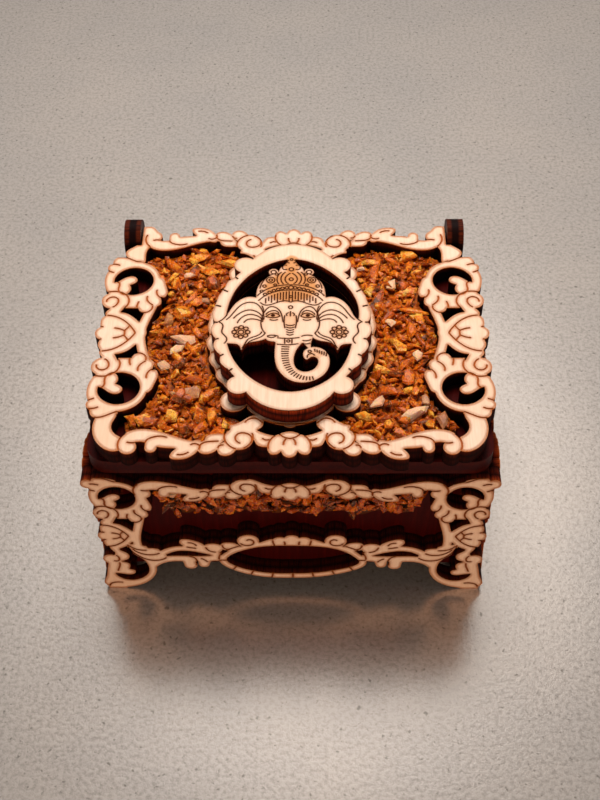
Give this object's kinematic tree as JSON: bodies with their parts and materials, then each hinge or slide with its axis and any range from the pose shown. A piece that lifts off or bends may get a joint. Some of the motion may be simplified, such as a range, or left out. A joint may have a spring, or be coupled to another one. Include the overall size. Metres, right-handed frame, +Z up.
{
  "type": "dice box",
  "caption": "Small hinged-lid dice box of laser-cut plywood with scrolled fretwork on every side, beds of amber stone chips and a raised elephant-head medallion on the lid",
  "frame": {"origin": "on the surface that the box stands on, under the middle of the closed box, hinge ears included", "axes": "+X to the right as seen from the front, +Y to the back where the hinge is, +Z up"},
  "size_m": [0.068, 0.0582, 0.0421],
  "materials": {
    "pale_plywood": "matte, with brown engraved lines and burnt cut edges",
    "stained_plywood": "satin dark red-brown stain",
    "amber_chips": "polished chips of clear to amber stone, set in resin",
    "pin_steel": "plain drawn wire"
  },
  "bodies": {
    "box": {"floor_panel": "stained_plywood", "front_wall": "stained_plywood", "back_wall": "stained_plywood", "left_wall": "stained_plywood", "right_wall": "stained_plywood", "front_fretwork": "pale_plywood", "back_fretwork": "pale_plywood", "left_fretwork": "pale_plywood", "right_fretwork": "pale_plywood", "front_stones": "amber_chips"},
    "lid": {"lid_panel": "stained_plywood", "lid_fretwork": "pale_plywood", "medallion_plate": "pale_plywood", "lid_stones_left": "amber_chips", "lid_stones_right": "amber_chips", "hinge_pin_left": "pin_steel", "hinge_pin_right": "pin_steel"}
  },
  "joints": [
    {"name": "lid_hinge", "type": "hinge", "parent": "box", "child": "lid", "pos_m": [0, 0.02406, 0.0376], "axis": [-1, 0, 0], "range_deg": [0, 180]}
  ]
}
